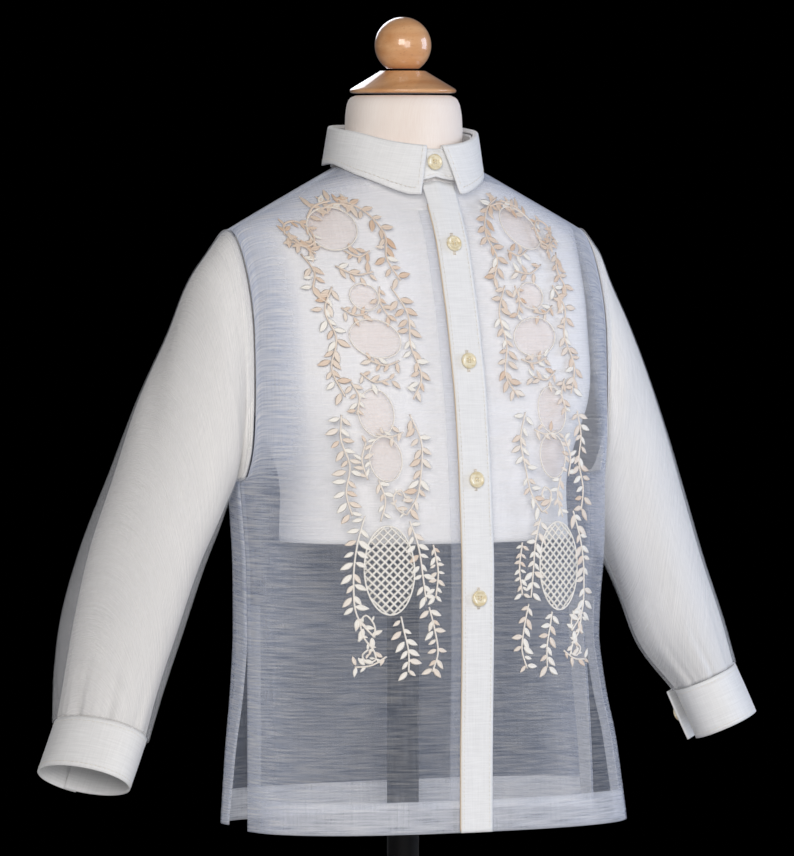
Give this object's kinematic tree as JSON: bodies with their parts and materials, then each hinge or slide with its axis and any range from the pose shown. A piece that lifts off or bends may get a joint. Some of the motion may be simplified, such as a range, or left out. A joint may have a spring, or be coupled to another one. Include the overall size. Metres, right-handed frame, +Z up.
{
  "type": "barong tagalog shirt on a child's dress form",
  "caption": "Long-sleeved sheer embroidered shirt with a collar, front placket and side vents, worn by a limbless child's dress form on a pole and round base.",
  "frame": {"origin": "centre of the underside of the round base, where the stand rests on the floor; the neck's axis runs straight up from it", "axes": "+Z up; the shirt's front faces -Y and the wearer's left is +X"},
  "size_m": [0.5466, 0.26, 0.7061],
  "materials": {
    "cloth": "sheer jusi-style cloth with fine slubs, ivory white, soft sheen",
    "lining": "plain white sleeve lining, matt",
    "jersey": "cream jersey cover, matt",
    "wood": "lacquered light hardwood",
    "iron": "black powder coat, satin",
    "button": "pale yellow pearl"
  },
  "bodies": {
    "root": {"form_torso": "jersey", "neck_cap": "wood", "finial_ball": "wood", "pole": "iron", "base": "iron", "front_right": "cloth", "front_left": "cloth", "back": "cloth", "hem_front_right": "cloth", "hem_front_left": "cloth", "hem_back": "cloth", "vent_facing_front_right": "cloth", "vent_facing_front_left": "cloth", "vent_facing_back_right": "cloth", "vent_facing_back_left": "cloth", "placket_band": "cloth", "underlap_facing": "cloth", "sleeve_right": "cloth", "sleeve_left": "cloth", "sleeve_lining_right": "lining", "sleeve_lining_left": "lining", "cuff_right": "cloth", "cuff_left": "cloth", "collar_stand": "cloth", "collar_leaf": "cloth", "button_1": "button", "button_2": "button", "button_3": "button", "button_4": "button", "button_5": "button", "cuff_button_right": "button", "cuff_button_left": "button"}
  },
  "joints": []
}
